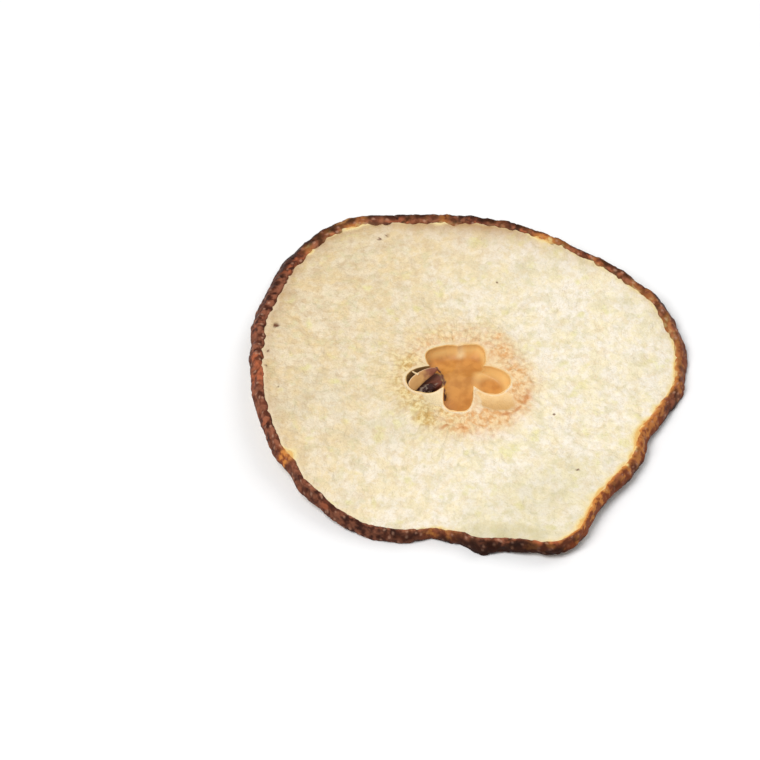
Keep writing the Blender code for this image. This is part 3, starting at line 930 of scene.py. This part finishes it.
def lining_rings(turns, u, v, near_side):
    """The lining in rings, from the floor's middle out and up the wall, over its lip and back
    underneath, and how deep each point is, from 0 at the lip to 1 on the floor."""
    along = np.stack([8 * u, 8 * v, 0 * u], -1)
    lip = near_side * (0.08 + 0.16 * noise_at(along, 1.1, 2.0))
    lip = lip + 0.05 * noise_at(along, 0.4, 5.0)
    reach = chamber_reach(turns) - 0.06 + 0.08 * noise_at(along, 0.8, 8.0)
    bowled, far_side = toward(turns, *BOWLED_SIDE), toward(turns, *FAR_SIDE)
    foot_reach = reach - (0.62 + 1.0 * bowled + 1.0 * far_side)
    for _ in range(3):
        foot_reach = sum(np.roll(foot_reach, k) for k in range(-8, 9)) / 17
    slope = reach - np.minimum(foot_reach, reach - STEEPEST)
    rings, depth = [], []

    def place(r):
        return HUB[0] + r * u, HUB[1] + r * v

    def ring(r, height, deep):
        x, y = place(r)
        rings.append(np.stack([x, y, middle_height(x, y) + FLESH_HALF + height], -1))
        depth.append(deep + 0 * u)

    for k in range(1, FLOOR_RINGS + 1):
        r = k / FLOOR_RINGS * (reach - slope)
        ring(r, floor_height(*place(r)), 1.0)
    foot = floor_height(*place(reach - slope))
    edge_x, edge_y = place(reach)
    rim = face_height(edge_x, edge_y) - middle_height(edge_x, edge_y) - FLESH_HALF + lip
    for k in range(1, WALL_RINGS + 1):
        share = k / WALL_RINGS
        bulge = 1 - (1 - share) ** (2.4 - 0.9 * bowled)
        ring(reach - slope + (slope - 0.06) * bulge, foot + (rim - foot) * share**1.35, 1 - share)
    for out, drop in ((0.04, 0.02), (0.14, 0.2), (SHELL, 0.6)):
        ring(reach + out, rim - drop, 0.0)
    for r in (reach + 0.1, 0.6 * reach, 0.1 * reach):
        ring(r, -POCKET_DEPTH + 0.05 - 0.35 + 0 * u, 1.0)
    return np.array(rings), np.array(depth)


def make_lining():
    """A thin closed shell on the pocket's floor and walls, with an uneven lip on its near side."""
    turns, u, v = even_turns(LINING_TURNS)
    near_side = fade(-0.05, -0.45, v)
    rings, depth = lining_rings(turns, u, v, near_side)
    piece = ring_body("core_lining", rings)

    x, y = rings[..., 0], rings[..., 1]
    broken = noise_at(np.stack([x, y, 0 * x], -1), 0.7, 4.0).reshape(x.shape)
    far_wall = 1 - near_side
    # Painted shadow in the left chamber and along its groove
    stain = fade(1.15, 0.9, oval_gap(x, y, LEFT_CHAMBER)) * fade(-2.7, -3.3, x)
    stain = stain * (0.45 + 0.55 * fade(0.5, 0.95, depth))
    stain = stain * np.maximum(fade(0.0, 0.2, depth), far_wall)
    groove = fade(0.26, 0.06, gap_to_line(x, y, LEFT_GROOVE) - 0.24 * broken)
    stain = np.maximum(stain, groove * fade(0.3, 0.8, depth))
    # Deeper, darker orange on the floors, partly the lining's colour and partly painted shade, less so
    # where the right chamber's bowl rises
    rising = fade(0.35, 1.0, oval_gap(x, y, RIGHT_CHAMBER))
    rising = rising * fade(1.6, 3.4, x) * fade(3.2, 2.0, y) * 0.75
    deep = fade(0.35, 0.95, depth) * (1 - np.clip(rising, 0, 1))
    deep = np.maximum(deep, 0.2 * fade(0.3, 0.05, depth) * far_wall)
    # Painted highlights at the near lip and on the ridge between the far chambers
    edge = fade(0.12, 0.0, depth) * (0.4 * near_side)
    ridge = np.exp(-(((x - 0.2 - 0.25 * broken) / 0.6) ** 2)) * fade(3.8, 5.0, y)
    edge = np.maximum(edge, 0.9 * ridge * fade(1.0, 0.7, depth))
    tint(piece, "lining_tints", deep, stain, edge)
    return piece


# What lies in the left chamber. Heights are over the flesh's face.

FLAP_TOP = ((-8.7, -1.4, 0.1), (-6.7, 1.1, 0.15), (-3.7, 2.4, 0.0))
FLAP_FOOT = ((-7.5, -2.5, -1.2), (-6.1, -0.2, -1.1), (-3.8, 1.7, -0.6))
FLAP_THICK, FLAP_PUSH = 0.14, (0.3, -0.7, 0.6)  # half its thickness, the way that it crinkles
FLAP_SPLIT, SEED_SPLIT, FIBRE_SPLIT = (60, 40), (48, 40), (24, 12)  # rings, points round each
SEED_AT, SEED_TURN, SEED_LENGTH = (-4.9, -0.8, -1.6), 33, 5.0
SEED_WIDTH, SEED_THICK = 0.9, 0.7  # half of each
FIBRE_PATH = ((-8.35, 1.9, 0.0), (-7.6, 1.2, -0.05), (-6.8, 0.6, 0.1))
FIBRE_SIDE = (0.4, 0.8, 0.1)


def tube(name, centres, widths, thicknesses, sideways, steps):
    """A closed flattened tube: each ring is an oval across the line of centres."""
    rings = []
    for k, centre in enumerate(centres):
        ahead = centres[min(k + 1, len(centres) - 1)] - centres[max(k - 1, 0)]
        side = sideways[k] - ahead * np.dot(sideways[k], ahead) / np.dot(ahead, ahead)
        side = side / np.linalg.norm(side)
        up = np.cross(ahead / np.linalg.norm(ahead), side)
        spin = 2 * np.pi * np.arange(steps)[:, None] / steps
        oval = widths[k] * np.cos(spin) * side + thicknesses[k] * np.sin(spin) * up
        rings.append(centre + oval)
    return ring_body(name, np.array(rings))


def on_face(point):
    """A point given over the flesh's face, as a place."""
    x, y, over = point
    return np.array((x, y, middle_height(x, y) + FLESH_HALF + over))


def bow(path, shares):
    """Places along a curve through three points given over the flesh's face."""
    a, b, c = (np.array(point) for point in path)
    places = (a * (1 - s) * (1 - 2 * s) + b * 4 * s * (1 - s) + c * s * (2 * s - 1) for s in shares)
    return np.array([on_face(place) for place in places])


def mesh_points(piece):
    """A piece's points, in millimetres."""
    return np.array([v.co for v in piece.data.vertices]) / MM


def make_flap():
    """A curled shred of lining that leans across the left chamber."""
    rows, steps = FLAP_SPLIT
    shares = np.linspace(0.0, 1.0, rows)
    tops, feet = bow(FLAP_TOP, shares), bow(FLAP_FOOT, shares)
    rounded = np.sqrt(np.clip(1 - (2 * shares - 1) ** 6, 0.02, 1))
    width = np.linalg.norm(tops - feet, axis=1) / 2 * rounded
    thick = np.full(rows, FLAP_THICK)
    piece = tube("lining_flap", (tops + feet) / 2, width, thick, tops - feet, steps)
    crinkle = waves_at(mesh_points(piece), (0.07, 0.7, 3.0), (0.1, 1.8, 6.0))
    for vertex, push in zip(piece.data.vertices, crinkle):
        vertex.co += Vector(FLAP_PUSH) * float(push) * MM
    spin = np.tile(2 * np.pi * np.arange(steps) / steps, rows)
    along = np.repeat(shares, steps)
    # The second mask is a painted highlight along the flap's top edge
    tint(piece, "flap_tints", along, fade(0.86, 0.97, np.cos(spin)) * (1 - 0.5 * along))
    return piece


def make_seed():
    """The shrunken seed: a ridged, bent body, thinner at one end, on the left chamber's floor."""
    rows, steps = SEED_SPLIT
    shares = np.linspace(0.0, 1.0, rows)
    bearing = radians(SEED_TURN)
    ahead = np.array((cos(bearing), sin(bearing), 0.0))
    side = np.array((-sin(bearing), cos(bearing), 0.0))
    middle = on_face(SEED_AT)
    bent = [(0, 0, 0.2 * sin(6 * s)) for s in shares]
    centres = np.array([middle + ahead * (s - 0.5) * SEED_LENGTH + b for s, b in zip(shares, bent)])
    profile = np.sqrt(np.clip(1 - (2 * shares - 1) ** 2, 0.004, 1)) * (1 - 0.25 * shares)
    sizes = (SEED_WIDTH * profile, SEED_THICK * profile)
    piece = tube("seed_remains", centres, *sizes, [side] * rows, steps)
    ridges = waves_at(mesh_points(piece), (0.16, 0.8, 2.0), (0.1, 0.35, 5.0))
    for vertex, normal, push in zip(piece.data.vertices, piece.data.vertex_normals, ridges):
        vertex.co += normal.vector * float(push) * MM
    tint(piece, "seed_tints", np.repeat(shares, steps))
    return piece


def make_fibre():
    """A pale thread of lining that bridges the gap behind the flap."""
    rows, steps = FIBRE_SPLIT
    shares = np.linspace(0.0, 1.0, rows)
    centres = bow(FIBRE_PATH, shares)
    width = 0.26 - 0.12 * np.sin(np.pi * shares)
    return tube("lining_fibre", centres, width, 0.6 * width, [np.array(FIBRE_SIDE)] * rows, steps)


# Stage and camera, in metres where not stated otherwise

FLOOR_REACH = 1.5
FLOOR_COLOUR, FLOOR_ROUGHNESS = (0.95, 0.95, 0.95, 1.0), 0.9
LAMPS = (  # name, place, size, watts
    ("key", (-0.45, -0.35, 1.05), 0.6, 10.2),
    ("fill", (0.6, 0.5, 0.9), 0.8, 3.7),
)
SKY_STRENGTH = 0.36
CAMERA_ELEVATION = 51  # degrees above the slice
CAMERA_FAR = 700  # millimetres
PHOTO_SIDE = 760  # pixels
PIXELS_PER_MM = 6.08
CORE_IN_VIEW = (460, 378)  # where the photograph shows the core, in its pixels


def make_stage():
    """A pale floor, a soft high light from the near left, a weak fill and a white sky."""
    mesh = bpy.data.meshes.new("floor")
    corners = [(x * FLOOR_REACH, y * FLOOR_REACH, 0) for x, y in ((-1, -1), (1, -1), (1, 1), (-1, 1))]
    mesh.from_pydata(corners, [], [(0, 1, 2, 3)])
    floor = in_scene("floor", mesh)
    material = bpy.data.materials.new("pale_floor")
    material.use_nodes = True
    shader = material.node_tree.nodes["Principled BSDF"]
    shader.inputs["Base Color"].default_value = FLOOR_COLOUR
    shader.inputs["Roughness"].default_value = FLOOR_ROUGHNESS
    mesh.materials.append(material)
    for name, place, size, power in LAMPS:
        data = bpy.data.lights.new(name, "AREA")
        data.size = size
        data.energy = power
        lamp = in_scene(name, data)
        lamp.location = place
        lamp.rotation_euler = (-Vector(place)).to_track_quat("-Z", "Y").to_euler()
    world = bpy.data.worlds.new("sky")
    world.use_nodes = True
    sky = world.node_tree.nodes["Background"]
    sky.inputs["Color"].default_value = (1.0, 1.0, 1.0, 1.0)
    sky.inputs["Strength"].default_value = SKY_STRENGTH
    bpy.context.scene.world = world
    bpy.context.scene.view_settings.view_transform = "Standard"


def make_camera():
    """The photograph's view: from the near side, 51 degrees above the slice."""
    rise = radians(CAMERA_ELEVATION)
    ahead = Vector((0, cos(rise), -sin(rise)))
    right, up = Vector((1, 0, 0)), Vector((0, sin(rise), cos(rise)))
    core = Vector((*CORE_AT, MIDDLE_HEIGHT + FLESH_HALF))
    across, down = (PHOTO_SIDE / 2 - pixel for pixel in CORE_IN_VIEW)
    aim = core + right * across / PIXELS_PER_MM - up * down / PIXELS_PER_MM
    data = bpy.data.cameras.new("camera")
    data.sensor_width = 36
    data.lens = data.sensor_width * CAMERA_FAR / (PHOTO_SIDE / PIXELS_PER_MM)
    data.clip_start = 0.01
    camera = in_scene("camera", data)
    camera.location = (aim - ahead * CAMERA_FAR) * MM
    camera.rotation_euler = ahead.to_track_quat("-Z", "Y").to_euler()
    bpy.context.scene.camera = camera


make_camera()
make_stage()
dress(make_flesh(), flesh_look())
dress(make_skin(), skin_look())
dress(make_lining(), lining_look())
dress(make_flap(), flap_look())
dress(make_seed(), seed_look())
dress(make_fibre(), fibre_look())
